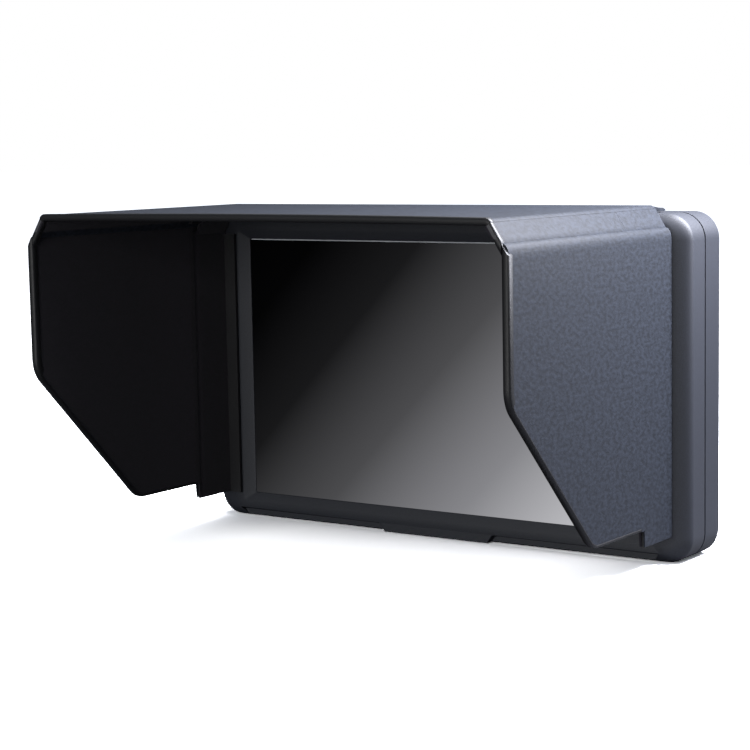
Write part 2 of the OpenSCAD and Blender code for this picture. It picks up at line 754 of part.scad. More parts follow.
module top_tape() {
    color([0.08, 0.08, 0.08]) translate([top_tape_in - crease_x, top_tape_y, body_h])
        cube([2 * (crease_x - top_tape_in), lap_y - top_tape_y - fold_gap, tape_t]);
}
// A layer of the top flap with its rolled sides, between two depths under its outer face
module top_slab(d0, d1, y0, y1) {
    x = knuckle_x;
    arc = [for (i = [0:6]) let (a = 90 - bend * i / 6) [cos(a), sin(a)]];
    outer = [for (p = arc) [x + (knuckle_r - d0) * p.x, knuckle_z + (knuckle_r - d0) * p.y]];
    inner = [for (i = [6:-1:0]) [x + (knuckle_r - d1) * arc[i].x, knuckle_z + (knuckle_r - d1) * arc[i].y]];
    right = concat(outer, inner);
    translate([0, y1, 0]) rotate([90, 0, 0]) linear_extrude(y1 - y0)
        polygon(concat(right, [for (i = [len(right) - 1:-1:0]) [-right[i].x, right[i].y]]));
}
module top_layer(d0, d1, start) { top_slab(d0, d1, y_front + edge_w * lip_share, y_top - start); }
module top_edging() {
    color(binding) {
        top_slab(-edge_t, 0, y_front, y_front + edge_w);
        top_slab(0, panel_t, y_front, y_front + edge_w * lip_share);
    }
}
module top_skin() { color(leatherette) top_layer(0, skin_t, skin_crease); }
module top_board() { color("gray") top_layer(skin_t, skin_t + stiff_t, soft_crease); }
module top_lining() { color(felt) top_layer(skin_t + stiff_t, panel_t, soft_crease); }
// The strip between the top and a side flap: layers at depths under its outer face
module gusset(d0, d1, start) {
    a = [cos(bend), -sin(bend)];
    n = [sin(bend), cos(bend)];
    p = [knuckle_x, knuckle_z];
    from = fold_gap * 0.7;
    outer = p + n * (knuckle_r - d0);
    inner = p + n * (knuckle_r - d1);
    foot = hood_top - (gusset_x - crease_x) * slope;
    intersection() {
        translate([0, y_top - start, 0]) rotate([90, 0, 0]) linear_extrude(y_top - start - y_front)
            polygon([outer + a * from, outer + a * far / 2, inner + a * far / 2, inner + a * from]);
        translate([0, y_front - 1, foot]) cube([gusset_x, hood_reach + 2, far]);
    }
}
module gusset_skin() { color(leatherette) gusset(0, skin_t, soft_crease); }
module gusset_board() { color("gray") gusset(skin_t, skin_t + stiff_t, soft_crease); }
module gusset_lining() { color(felt) gusset(skin_t + stiff_t, panel_t, soft_crease); }
module left() { mirror([1, 0, 0]) children(); }

front_bezel();
rear_cover();
screen_glass();
glass_gasket();
display_cell();
backlight_tray();
tray_screws();
main_board();
board_screws();
hdmi_socket(hdmi_y[0]);  // hdmi_input
hdmi_socket(hdmi_y[1]);  // hdmi_output
headphone_jack();
power_jack(power_y[0]);  // power_input
power_jack(power_y[1]);  // power_output
service_port();
key_board();
tact_switches();
status_light();
for (i = [0:key_count - 1])
    key(i);
battery_plate();
battery_contacts();
battery_latch();
latch_spring();
plate_screws();
tripod_insert();
case_screws();
hood_frame();
rim_tape();
top_tape();
base_skin();
base_lining();
flap_skin();  // flap_right_skin
flap_board();  // flap_right_board
flap_lining();  // flap_right_lining
flap_edging();  // flap_right_edging
left() flap_skin();  // flap_left_skin
left() flap_board();  // flap_left_board
left() flap_lining();  // flap_left_lining
left() flap_edging();  // flap_left_edging
top_skin();  // flap_top_skin
top_board();  // flap_top_board
top_lining();  // flap_top_lining
top_edging();  // flap_top_edging
gusset_skin();  // gusset_right_skin
gusset_board();  // gusset_right_board
gusset_lining();  // gusset_right_lining
left() gusset_skin();  // gusset_left_skin
left() gusset_board();  // gusset_left_board
left() gusset_lining();  // gusset_left_lining
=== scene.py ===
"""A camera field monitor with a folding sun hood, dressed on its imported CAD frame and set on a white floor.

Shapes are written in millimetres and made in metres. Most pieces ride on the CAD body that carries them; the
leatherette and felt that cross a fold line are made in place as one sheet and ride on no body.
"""

import json
import math

import bmesh
import bpy
from bpy.props import FloatProperty, IntProperty, PointerProperty
from mathutils import Matrix, Vector


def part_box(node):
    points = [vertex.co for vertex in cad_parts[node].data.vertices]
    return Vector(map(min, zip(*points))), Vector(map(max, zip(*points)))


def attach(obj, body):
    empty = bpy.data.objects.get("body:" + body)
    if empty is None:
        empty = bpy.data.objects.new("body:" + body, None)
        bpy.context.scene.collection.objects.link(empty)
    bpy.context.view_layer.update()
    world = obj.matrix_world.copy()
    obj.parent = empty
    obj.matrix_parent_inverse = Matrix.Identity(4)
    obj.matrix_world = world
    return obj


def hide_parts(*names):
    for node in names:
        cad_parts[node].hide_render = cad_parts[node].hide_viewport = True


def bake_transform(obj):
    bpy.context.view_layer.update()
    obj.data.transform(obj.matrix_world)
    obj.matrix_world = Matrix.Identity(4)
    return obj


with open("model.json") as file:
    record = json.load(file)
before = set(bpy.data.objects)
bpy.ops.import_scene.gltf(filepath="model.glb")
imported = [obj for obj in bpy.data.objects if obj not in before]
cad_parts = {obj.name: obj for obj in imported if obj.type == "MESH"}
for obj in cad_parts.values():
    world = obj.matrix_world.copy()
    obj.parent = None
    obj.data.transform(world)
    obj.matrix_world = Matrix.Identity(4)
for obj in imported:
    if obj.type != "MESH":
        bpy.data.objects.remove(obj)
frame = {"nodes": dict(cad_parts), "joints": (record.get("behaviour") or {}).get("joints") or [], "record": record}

bl_info = {
    "name": "Field monitor with sun hood",
    "version": (1, 0, 0),
    "blender": (4, 5, 0),
    "location": "View3D > Sidebar > Field monitor",
    "description": "Dresses the packed frame of a field monitor and its folding sun hood, and lights it",
    "category": "Object",
}

MM = 0.001
# Vertices closer than this, in millimetres, are one, and faces within this angle, in degrees, are one plane
MERGE = 0.001
FLAT_ANGLE = 1.0
hinges = {joint["name"]: Vector(joint.get("pos_m", (0, 0, 0))) / MM for joint in frame["joints"]}


def box_mm(node):
    """The lowest and highest corners of a CAD node, in millimetres."""
    low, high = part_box(node)
    return Vector(low) / MM, Vector(high) / MM


# Housing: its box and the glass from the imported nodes, the rest as the CAD source drives it
bezel_low, bezel_high = box_mm("front_bezel")
HALF_W = bezel_high.x
HEIGHT = bezel_high.z
Y_FACE = bezel_low.y
Y_SEAM = bezel_high.y
glass_low, glass_high = box_mm("screen_glass")
GLASS_LAP = 1.5
WINDOW_W = glass_high.x - GLASS_LAP
WINDOW_LOW = glass_low.z + GLASS_LAP
WINDOW_HIGH = glass_high.z - GLASS_LAP
CORNER = 7.0
WALL = 2.0
SIDE_BEVEL = 4.45
END_BEVEL = 2.5
BEVEL_DEPTH = 2.9
SLOPE_SIDE = 4.0
SLOPE_END = 2.5
NOTCH_DEPTH = 2.0
PAD_HALF = 16.9
NOTCH_END = 10.65
NOTCH_REACH = HALF_W - NOTCH_END
NOTCH_SLANT = 2.0

# Hood: its outer faces and fold lines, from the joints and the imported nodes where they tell
FLAP_X = hinges["flap_right_fold"].x
Y_SIDE = hinges["flap_right_fold"].y
Y_TOP = hinges["flap_top_fold"].y
HOOD_TOP = hinges["flap_top_fold"].z
KNUCKLE_X = hinges["gusset_right_fold"].x
KNUCKLE_Z = hinges["gusset_right_fold"].z
KNUCKLE_R = HOOD_TOP - KNUCKLE_Z
Y_FRONT = box_mm("flap_top_edging")[0].y
# Half the width of the band in which the covers bend
STRIP_W = 5.1
STRIP_H = 8.0
CREASE_X = FLAP_X - STRIP_W
CREASE_Z = HOOD_TOP - STRIP_H
BEND = math.atan2(STRIP_H, STRIP_W)
SLOPE = STRIP_H / STRIP_W
FLAP_Z = box_mm("flap_right_edging")[0].z
STRIP_Z = box_mm("base_skin")[0].z
SLANT_Z = 50.5
SLANT_REACH = 42.0
SLANT_R = 9.0
FOOT_R = SLANT_R * 0.7
SKIN_T = 0.4
BOARD_T = 0.7
FELT_T = 0.5
PANEL_T = SKIN_T + BOARD_T + FELT_T
# Where the covers start off the bezel's face, how far they stay inside a bound edge, and the tape's lip
HOOD_BACK = Y_FACE - 0.3
EDGE_INSET = 0.6
TAPE_LIP = 0.22
# Share of the tape's width that shows along the slant and the foot
NARROW_TAPE = 0.45
# The two stitched lines beside a side's fold, and how far they draw the felt in
STITCH_BACK = -29.25
STITCH_FRONT = Y_SIDE - 2.0
STITCH_DEPTH = 0.22
# Space kept between neighbouring panels on different bodies
PANEL_GAP = 0.05

# Place, turn and lens of the camera that was fitted to the photograph, in metres, degrees and millimetres
CAMERA_AT = (0.2990, -0.47135, 0.1096)
CAMERA_YAW = 34.875
CAMERA_PITCH = 6.684
CAMERA_ROLL = -1.048
CAMERA_LENS = 95.98

# Floor, in metres: half its width, and its drop under the housing's foot
FLOOR_SIZE = 6
FLOOR_DROP = 0.0001


def paint(code):
    """A colour for the shader from its sRGB hex code."""
    parts = [int(code[i:i + 2], 16) / 255 for i in (1, 3, 5)]
    return tuple(c / 12.92 if c <= 0.04045 else ((c + 0.055) / 1.055) ** 2.4 for c in parts) + (1.0,)


def add_node(tree, kind, links=(), **values):
    """Adds a shader node, sets its properties and sockets, and links (output, its input) pairs to it."""
    node = tree.nodes.new(kind)
    for key, value in values.items():
        name = key.replace("_", " ")
        if hasattr(node, key):
            setattr(node, key, value)
        else:
            node.inputs[name].default_value = value
    for output, socket in links:
        tree.links.new(output, node.inputs[socket])
    return node


def new_material(name, **values):
    """A material of that name whose Principled shader has these sockets set; returns it with its shader."""
    made = bpy.data.materials.new(name)
    made.use_nodes = True
    shader = made.node_tree.nodes["Principled BSDF"]
    for key, value in values.items():
        shader.inputs[key.replace("_", " ")].default_value = value
    return made, shader


def bump(tree, shader, height, depth, strength=1.0):
    """Raises a shader's surface by a height output, depth in millimetres."""
    node = add_node(tree, "ShaderNodeBump", [(height, "Height")], Strength=strength, Distance=depth * MM)
    tree.links.new(node.outputs["Normal"], shader.inputs["Normal"])


def grain(tree, scale, detail=2.0, stretch=(1, 1, 1)):
    """Fine noise over the object's own coordinates, its cells about 1/scale metres wide."""
    place = add_node(tree, "ShaderNodeTexCoord")
    mapping = add_node(tree, "ShaderNodeMapping", [(place.outputs["Object"], "Vector")], Scale=stretch)
    return add_node(tree, "ShaderNodeTexNoise", [(mapping.outputs["Vector"], "Vector")], Scale=scale,
                    Detail=detail)


def tinted(tree, shader, factor, low, high, socket="Base Color", ends=(0.3, 0.7)):
    """Colours a socket from low to high as a factor output goes between the ends."""
    ramp = add_node(tree, "ShaderNodeValToRGB", [(factor, "Fac")])
    ramp.color_ramp.elements[0].position, ramp.color_ramp.elements[1].position = ends
    ramp.color_ramp.elements[0].color = paint(low)
    ramp.color_ramp.elements[1].color = paint(high)
    tree.links.new(ramp.outputs["Color"], shader.inputs[socket])


def housing_plastic():
    """Moulded slate ABS, spark-eroded: a soft satin sheen that breaks up in the bevels."""
    made, shader = new_material("Slate ABS, spark-eroded", Roughness=0.58, IOR=1.5)
    tree = made.node_tree
    fine = grain(tree, 4200)
    tinted(tree, shader, fine.outputs["Fac"], "#1b1d23", "#24272f")
    bump(tree, shader, fine.outputs["Fac"], 0.02, 0.35)
    return made


def leatherette():
    """Polyurethane leatherette with a pebbled grain: many small soft glints on a blue-grey field."""
    made, shader = new_material("Polyurethane leatherette", Roughness=0.66, IOR=1.5,
                                Specular_IOR_Level=0.22)
    tree = made.node_tree
    pebbles = grain(tree, 1100, 3, (1, 0.6, 1))
    tinted(tree, shader, pebbles.outputs["Fac"], "#171a20", "#23272f", ends=(0.36, 0.64))
    bump(tree, shader, pebbles.outputs["Fac"], 0.12, 0.6)
    return made


def felt():
    """Short black-violet felt: it swallows light, with a faint nap that shows at grazing angles."""
    made, shader = new_material("Black felt", Roughness=0.95, Sheen_Weight=0.08, Sheen_Roughness=0.5)
    tree = made.node_tree
    nap = grain(tree, 3000, 4, (1, 0.4, 1))
    tinted(tree, shader, nap.outputs["Fac"], "#0f0b13", "#17121c")
    bump(tree, shader, nap.outputs["Fac"], 0.06, 0.5)
    return made


def binding_tape():
    """Woven nylon edge tape, slightly shiny: the flaps' black outline with its thin highlight."""
    made, shader = new_material("Woven nylon tape", Roughness=0.5, IOR=1.45)
    tree = made.node_tree
    weave = grain(tree, 2600, 2, (1, 1, 2.5))
    tinted(tree, shader, weave.outputs["Fac"], "#030304", "#09090b")
    bump(tree, shader, weave.outputs["Fac"], 0.05, 0.8)
    return made


def display():
    """The screen behind its glass with a painted reflection: a diagonal sweep from black to pale grey that glows.
    """
    made, shader = new_material("Screen glass with painted reflection", Base_Color=paint("#050506"), Roughness=0.3, IOR=1.5,
                                Specular_IOR_Level=0.06, Emission_Strength=1.0)
    tree = made.node_tree
    place = add_node(tree, "ShaderNodeTexCoord")
    parts = add_node(tree, "ShaderNodeSeparateXYZ", [(place.outputs["Object"], "Vector")])
    across = add_node(tree, "ShaderNodeMapRange", [(parts.outputs["X"], "Value")], From_Min=-WINDOW_W * MM,
                      From_Max=WINDOW_W * MM, To_Min=0.0, To_Max=0.64)
    down = add_node(tree, "ShaderNodeMapRange", [(parts.outputs["Z"], "Value")], From_Min=WINDOW_HIGH * MM,
                    From_Max=WINDOW_LOW * MM, To_Min=0.0, To_Max=0.36)
    sweep = add_node(tree, "ShaderNodeMath", [(across.outputs["Result"], 0), (down.outputs["Result"], 1)],
                     operation="ADD")
    ramp = add_node(tree, "ShaderNodeValToRGB", [(sweep.outputs["Value"], "Fac")])
    stops = ((0.12, "#000000"), (0.3, "#161617"), (0.5, "#4a4a4c"), (0.72, "#858589"), (0.95, "#c4c4c8"))
    for place_at, code in stops[1:-1]:
        ramp.color_ramp.elements.new(place_at).color = paint(code)
    ramp.color_ramp.elements[0].position, ramp.color_ramp.elements[-1].position = stops[0][0], stops[-1][0]
    ramp.color_ramp.elements[0].color = paint(stops[0][1])
    ramp.color_ramp.elements[-1].color = paint(stops[-1][1])
    # The sweep glows as emission: a painted reflection of the studio on the dark glass, not a picture on the
    # screen
    tree.links.new(ramp.outputs["Color"], shader.inputs["Emission Color"])
    return made


def plain(name, code, roughness, metallic=0.0):
    """A material of one colour, with a faint cloud in its roughness so that it isn't sterile."""
    made, shader = new_material(name, Base_Color=paint(code), Metallic=metallic)
    tree = made.node_tree
    cloud = grain(tree, 180, 3)
    spread = add_node(tree, "ShaderNodeMapRange", [(cloud.outputs["Fac"], "Value")],
                      To_Min=roughness * 0.85, To_Max=roughness * 1.15)
    tree.links.new(spread.outputs["Result"], shader.inputs["Roughness"])
    return made


def make_materials():
    """Every finish by the record's slot name, each named for the real material."""
    return {
        "housing_plastic": housing_plastic(),
        "leatherette": leatherette(),
        "felt": felt(),
        "edge_binding": binding_tape(),
        "screen_glass": display(),
        # Pale strip along the top edge of the cover glass: a painted highlight, the bright hairline along the top
        # of the screen
        "glass_edge": plain("Pale glass edge, painted highlight", "#c8ccd0", 0.2),
        # Closed-cell foam, dull black, only seen from inside
        "foam": plain("Closed-cell foam", "#0c0c0c", 0.9),
        # Dark cell of the display, hidden behind the cover glass
        "display_glass": plain("Display cell", "#202226", 0.2),
        # Bare sheet aluminium: pale and softly mirroring
        "aluminium_tray": plain("Sheet aluminium", "#c4c6c8", 0.35, 1.0),
        # Green solder resist with its waxy sheen
        "circuit_board": plain("Solder resist", "#0d3f22", 0.35),
        # Blackened steel screws: dark, with small bright slots
        "steel_screws": plain("Blackened steel", "#38383a", 0.38, 1.0),
        # Nickel-plated socket shells: the bright rims inside the dark housing
        "socket_steel": plain("Nickel-plated steel", "#b4b4b6", 0.28, 1.0),
        # Glossy black moulding round the round sockets
        "jack_plastic": plain("Black nylon moulding", "#101011", 0.3),
        # Stamped steel of the switches, inside
        "switch_steel": plain("Stamped steel", "#a8a8a8", 0.4, 1.0),
        # Clear acrylic light pipe, milky when unlit
        "light_pipe": plain("Milky acrylic", "#6f7873", 0.15),
        # Silicone keys: dull and soft against the satin housing
        "key_rubber": plain("Black silicone rubber", "#0c0c0e", 0.75),
        # Glass-filled nylon of the battery plate: coarse and dull
        "plate_plastic": plain("Glass-filled nylon", "#171719", 0.6),
        # Gold-flashed brass blades of the battery contacts
        "contact_brass": plain("Gold-flashed brass", "#c9a24a", 0.22, 1.0),
        # Acetal latch: smooth mid grey
        "latch_plastic": plain("Grey acetal", "#37373a", 0.4),
        # Spring steel leaf under the latch
        "spring_steel": plain("Spring steel", "#9c9ca0", 0.3, 1.0),
        # Turned brass of the tripod insert, bright at its rim
        "insert_brass": plain("Turned brass", "#b8944c", 0.25, 1.0),
        # Black polypropylene carrier of the hood, seen only at its cut edges
        "frame_plastic": plain("Black polypropylene", "#161618", 0.55),
        # Hook and loop tape: dull black fuzz under the hood's rim
        "hook_tape": plain("Hook and loop tape", "#0e0e10", 0.95),
        # Grey board stiffener inside the flaps
        "stiffener": plain("Grey polypropylene board", "#3c3c3e", 0.6),
    }


materials = {}


def finish_mesh(name, bm, slot, body=None, sharp=35.0):
    """Turns a bmesh in metres into a shaded piece with a material, riding on a body if one is named."""
    bmesh.ops.recalc_face_normals(bm, faces=bm.faces)
    for face in bm.faces:
        face.smooth = True
    for edge in bm.edges:
        edge.smooth = edge.calc_face_angle(0.0) < math.radians(sharp)
    mesh = bpy.data.meshes.new(name)
    bm.to_mesh(mesh)
    bm.free()
    piece = bpy.data.objects.new(name, mesh)
    bpy.context.scene.collection.objects.link(piece)
    mesh.materials.append(materials[slot])
    if body:
        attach(piece, body)
    return piece


def loft(name, loops, slot, body=None, ring=False, sharp=35.0):
    """A closed solid through a row of loops of points in millimetres, capped, or closed into a ring."""
    bm = bmesh.new()
    rows = [[bm.verts.new(Vector(point) * MM) for point in loop] for loop in loops]
    pairs = list(zip(rows, rows[1:]))
    if ring:
        pairs.append((rows[-1], rows[0]))
    for near, far in pairs:
        for i in range(len(near)):
            j = (i + 1) % len(near)
            bm.faces.new((near[i], near[j], far[j], far[i]))
    if not ring:
        bm.faces.new(rows[0])
        bm.faces.new(list(reversed(rows[-1])))
    return finish_mesh(name, bm, slot, body, sharp)


def mirrored(loops):
    """The same loops on the left side."""
    return [[(-x, y, z) for x, y, z in loop] for loop in loops]


def soften(piece, width, segments=2, angle=35.0):
    """Rounds a piece's sharp edges by a small width in millimetres, as a mould or a tumbled edge does."""
    modifier = piece.modifiers.new("Soft edges", "BEVEL")
    modifier.width = width * MM
    modifier.segments = segments
    modifier.limit_method = "ANGLE"
    modifier.angle_limit = math.radians(angle)
    modifier.use_clamp_overlap = False
    modifier.harden_normals = True
    return piece


def dressed(node, slot, width, name=None, segments=2):
    """A copy of a CAD node with clean faces and soft edges, standing for it on the same body."""
    source = frame["nodes"][node]
    bm = bmesh.new()
    bm.from_mesh(source.data)
    bmesh.ops.remove_doubles(bm, verts=bm.verts, dist=MERGE * MM)
    bmesh.ops.dissolve_limit(bm, angle_limit=math.radians(FLAT_ANGLE), verts=bm.verts, edges=bm.edges)
    body = next(b for b, nodes in frame["record"]["behaviour"]["bodies"].items() if node in nodes)
    piece = finish_mesh(name or node + "_piece", bm, slot, body)
    if width:
        soften(piece, width, segments)
    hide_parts(node)
    return piece


# Housing


def rounded_rect(half_w, low, high, radius, y, steps=8):
    """A loop round a rectangle with rounded corners, seen from the front."""
    loop = []
    corners = ((1, 1, 0), (-1, 1, 90), (-1, -1, 180), (1, -1, 270))
    for side, level, start in corners:
        x = side * (half_w - radius)
        z = (high if level > 0 else low) - level * radius
        for i in range(steps + 1):
            angle = math.radians(start + 90 * i / steps)
            loop.append((x + radius * math.cos(angle), y, z + radius * math.sin(angle)))
    return loop


def bezel_loops(roundness, steps=6):
    """The front shell's rings: side wall, rounded bevel, face, window slope, and back round the inside."""
    y_bevel = Y_FACE + BEVEL_DEPTH
    loops = [rounded_rect(HALF_W, 0, HEIGHT, CORNER, y) for y in (Y_SEAM, y_bevel + 0.3)]
    for i in range(steps + 1):
        turn = math.pi / 2 * i / steps
        share = i / steps
        inset = roundness * (1 - math.cos(turn)) + (1 - roundness) * share ** 1.6
        sink = roundness * math.sin(turn) + (1 - roundness) * share
        end_inset = END_BEVEL * inset
        loops.append(rounded_rect(HALF_W - SIDE_BEVEL * inset, end_inset, HEIGHT - end_inset,
                                  CORNER * (1 - 0.4 * inset), y_bevel - BEVEL_DEPTH * sink))
    slope_w, slope_low, slope_high = WINDOW_W + SLOPE_SIDE, WINDOW_LOW - SLOPE_END, WINDOW_HIGH + SLOPE_END
    # The slope's upper edge is broken a little, as a mould's is
    loops.append(rounded_rect(slope_w + 0.1, slope_low - 0.1, slope_high + 0.1, 0.8, Y_FACE))
    loops.append(rounded_rect(slope_w - 0.25, slope_low + 0.2, slope_high - 0.2, 0.7, Y_FACE + 0.06))
    glass_front = glass_low.y - 0.05
    for y in (glass_low.y - 0.3, glass_front):
        loops.append(rounded_rect(WINDOW_W, WINDOW_LOW, WINDOW_HIGH, 0.4, y))
    for y in (glass_front, Y_SEAM):
        loops.append(rounded_rect(HALF_W - WALL, WALL, HEIGHT - WALL, CORNER - WALL, y))
    return loops


def notch_cutter(side):
    """The block that cuts one long notch out of the lower bezel."""
    outline = [(PAD_HALF, -2), (PAD_HALF, 0), (PAD_HALF + NOTCH_SLANT, END_BEVEL),
               (NOTCH_REACH + NOTCH_SLANT, END_BEVEL), (NOTCH_REACH, 0), (NOTCH_REACH, -2)]
    return [[(side * x, y, z) for x, z in outline] for y in (Y_FACE - 3, Y_FACE + NOTCH_DEPTH)]


def cut_away(piece, cutter):
    """Subtracts the cutter from the piece's mesh for good, and removes the cutter."""
    modifier = piece.modifiers.new("Cut", "BOOLEAN")
    modifier.operation = "DIFFERENCE"
    modifier.solver = "EXACT"
    modifier.object = cutter
    graph = bpy.context.evaluated_depsgraph_get()
    mesh = bpy.data.meshes.new_from_object(piece.evaluated_get(graph))
    piece.modifiers.remove(modifier)
    piece.data = mesh
    bpy.data.objects.remove(cutter)


def pad_loops():
    """The plain pad between the notches, which stands straight down where the bezel's foot bevels away."""
    outline = [(-PAD_HALF, 0), (PAD_HALF, 0), (PAD_HALF + NOTCH_SLANT, END_BEVEL + 0.4),
               (-PAD_HALF - NOTCH_SLANT, END_BEVEL + 0.4)]
    return [[(x, y, z + 0.02) for x, z in outline] for y in (Y_FACE + 0.02, Y_FACE + BEVEL_DEPTH + 1)]


def dress_bezel(props):
    """The front shell with its rounded bevel, notches and pad."""
    shell = loft("bezel_shell", bezel_loops(props.bevel_roundness), "housing_plastic", ring=True)
    for side in (-1, 1):
        cut_away(shell, loft("cutter", notch_cutter(side), "housing_plastic"))
    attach(shell, "monitor")
    soften(shell, 0.22, 2, 40)
    pad = soften(loft("bezel_pad", pad_loops(), "housing_plastic", "monitor"), 0.2)
    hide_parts("front_bezel")
    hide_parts("front_bezel")


def dress_screen():
    """The pane with its painted reflection, and a pale strip along the upper edge of its cover glass that is a
    painted highlight.
    """
    front, back = glass_low.y, glass_high.y
    loops = [rounded_rect(glass_high.x, glass_low.z, glass_high.z, 1, y) for y in (front, back)]
    pane = loft("screen_pane", loops, "screen_glass", "monitor")
    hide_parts("screen_glass")
    # A pale strip along the glass's top edge: a painted highlight
    edge_y = front - 0.12
    low, high = WINDOW_HIGH - 0.35, WINDOW_HIGH - 0.05
    outline = [(edge_y, low), (edge_y - 0.1, high), (front - 0.01, high), (front - 0.01, low)]
    loops = [[(x, y, z) for y, z in outline] for x in (-WINDOW_W + 0.5, WINDOW_W - 0.5)]
    loft("painted_highlight_rim", loops, "glass_edge", "monitor")


def dress_details():
    """Keys, sockets, battery plate and fasteners: the CAD pieces with clean faces and soft edges."""
    dressed("rear_cover", "housing_plastic", 0, "rear_shell")
    for node in frame["nodes"]:
        if node.startswith("key_") and node != "key_board":
            dressed(node, "key_rubber", 0.35, segments=3)
    for node in ("hdmi_input", "hdmi_output", "service_port"):
        dressed(node, "socket_steel", 0.1)
    for node in ("headphone_jack", "power_input", "power_output"):
        dressed(node, "jack_plastic", 0.12)
    dressed("battery_plate", "plate_plastic", 0.25)
    dressed("battery_contacts", "contact_brass", 0.12)
    dressed("battery_latch", "latch_plastic", 0.3)
    dressed("case_screws", "steel_screws", 0.1)
    dressed("plate_screws", "steel_screws", 0.1)
    dressed("status_light", "light_pipe", 0.1)


def dress_thread(props):
    """The brass insert with the helical ridge of its thread inside."""
    low, high = box_mm("tripod_insert")
    dressed("tripod_insert", "insert_brass", 0.15)
    pitch = 25.4 / props.threads_per_inch
    crest, root = 2.6, 3.2
    turns = (high.z - 1 - low.z) / pitch - 0.8
    per_turn = 32
    loops = []
    for i in range(int(turns * per_turn) + 1):
        angle = 2 * math.pi * i / per_turn
        rise = low.z + 0.45 + pitch * i / per_turn
        section = ((root, -0.42), (crest, 0.0), (root, 0.42))
        loops.append([(r * math.cos(angle), r * math.sin(angle), rise + dz) for r, dz in section])
    loft("insert_thread", loops, "insert_brass", "monitor", sharp=70)


# Hood


def arc(p, a, b, radius, steps=8):
    """Points round the corner p between the directions of a and b."""
    u, v = (Vector(a) - Vector(p)).normalized(), (Vector(b) - Vector(p)).normalized()
    half = u.angle(v) / 2
    centre = Vector(p) + (u + v).normalized() * radius / math.sin(half)
    first = Vector(p) + u * radius / math.tan(half) - centre
    last = Vector(p) + v * radius / math.tan(half) - centre
    turn = math.atan2(first.x * last.y - first.y * last.x, first.dot(last))
    return [centre + Matrix.Rotation(turn * i / steps, 2) @ first for i in range(steps + 1)]


def flap_outline(inset=0.0):
    """A side flap's free edge as (y, z), from its hinge line along the foot and up its front."""
    hinge = (Y_SIDE, FLAP_Z)
    foot = (Y_FACE - SLANT_REACH, FLAP_Z)
    knee = (Y_FRONT, SLANT_Z)
    head = (Y_FRONT, HOOD_TOP)
    lower = arc(foot, hinge, knee, FOOT_R)
    upper = arc(knee, foot, head, SLANT_R)
    path = [Vector(hinge)] + lower + upper + [Vector(head)]
    if inset:
        path = [p + n * inset for p, n in zip(path, inward(path))]
    return path


def inward(path):
    """For each point of a (y, z) path, the unit direction into the flap."""
    result = []
    for i, point in enumerate(path):
        before = path[max(i - 1, 0)]
        after = path[min(i + 1, len(path) - 1)]
        along = (after - before).normalized()
        result.append(Vector((-along.y, along.x)) if along.x > 0 else Vector((-along.y, along.x)) * -1)
    return result


def slope_z(x, gap=0.0):
    """Height of the slanted strip's outer plane over x."""
    return HOOD_TOP - (x - CREASE_X) * SLOPE - gap


def side_columns(inset):
    """Stations (y, lowest z) from the bezel to the front, closest together at the fold line."""
    back = (HOOD_BACK, -18, -21, -24, -27, -28.6, STITCH_BACK, Y_SIDE + 0.35)
    fixed = [(y, STRIP_Z + inset / 2) for y in back]
    bend = [(Y_SIDE - 0.5 * i, FLAP_Z + PANEL_GAP) for i in range(4)]
    free = [(p.x, p.y) for p in flap_outline(inset) if p.x < STITCH_FRONT - 0.3]
    free = [(STITCH_FRONT, FLAP_Z + inset)] + free[:-1]
    return fixed + bend + free


def curve(a, corner, b, steps=4):
    """Points of a quadratic curve from a to b drawn towards a corner."""
    points = []
    for i in range(steps + 1):
        t = i / steps
        shares = ((1 - t) ** 2, 2 * t * (1 - t), t * t)
        points.append(tuple(sum(s * v for s, v in zip(shares, axis)) for axis in zip(a, corner, b)))
    return points


def side_cover_line(depth, low, soft):
    """A side sheet's (x, z) line at a depth under its outer face, from its foot to its upper edge."""
    x = FLAP_X - depth
    start = CREASE_Z - depth * math.tan(math.pi / 4 - BEND / 2) - soft
    end_x = FLAP_X - PANEL_T + 0.02
    end_z = slope_z(end_x) - depth / math.cos(BEND)
    straight = [(x, low + (start - low) * i / 6) for i in range(6)]
    return straight + curve((x, start), (x - 0.1, end_z - 0.25), (end_x, end_z), 6)


def side_cover_loops(props):
    """The leatherette of one side: fixed strip, fold and flap as one sheet, rounded over at its top."""
    loops = []
    for y, low in side_columns(EDGE_INSET):
        outer = side_cover_line(0.0, low, props.crease_softness / MM)
        inner = side_cover_line(SKIN_T, low, props.crease_softness / MM)
        loops.append([(x, y, z) for x, z in outer + list(reversed(inner))])
    return loops


def side_lining_loops():
    """The felt inside one side, drawn in a little along the two stitched lines beside the fold."""
    loops = []
    dips = {STITCH_BACK: STITCH_DEPTH, STITCH_FRONT: STITCH_DEPTH}
    front, back = FLAP_X - PANEL_T, FLAP_X - SKIN_T - BOARD_T
    for y, low in side_columns(EDGE_INSET):
        inner = front + dips.get(y, 0.0)
        top = slope_z(front, 0.35)
        loops.append([(back, y, low), (back, y, top - 0.6), (inner, y, top), (inner, y, low)])
    return loops


def roll(depth, side, steps=6):
    """The top's rolled long edge at a depth under its outer face, from the slant to the flat: (x, z)."""
    radius = KNUCKLE_R - depth
    points = []
    for i in range(steps + 1):
        angle = BEND * (1 - i / steps)
        points.append((side * (KNUCKLE_X + radius * math.sin(angle)), KNUCKLE_Z + radius * math.cos(angle)))
    return points


def top_line(depth, y, bow, steps=12):
    """The top's line at a depth, from the right roll to the left one, bowed up towards the front."""
    forward = max(0.0, min(1.0, (Y_TOP - y) / (Y_TOP - Y_FRONT)))
    right = roll(depth, 1)
    left = list(reversed(roll(depth, -1)))
    middle = []
    for i in range(1, steps):
        x = KNUCKLE_X * (1 - 2 * i / steps)
        lift = bow * forward * (1 - (x / KNUCKLE_X) ** 2)
        middle.append((x, HOOD_TOP - depth + lift))
    return right + middle + left


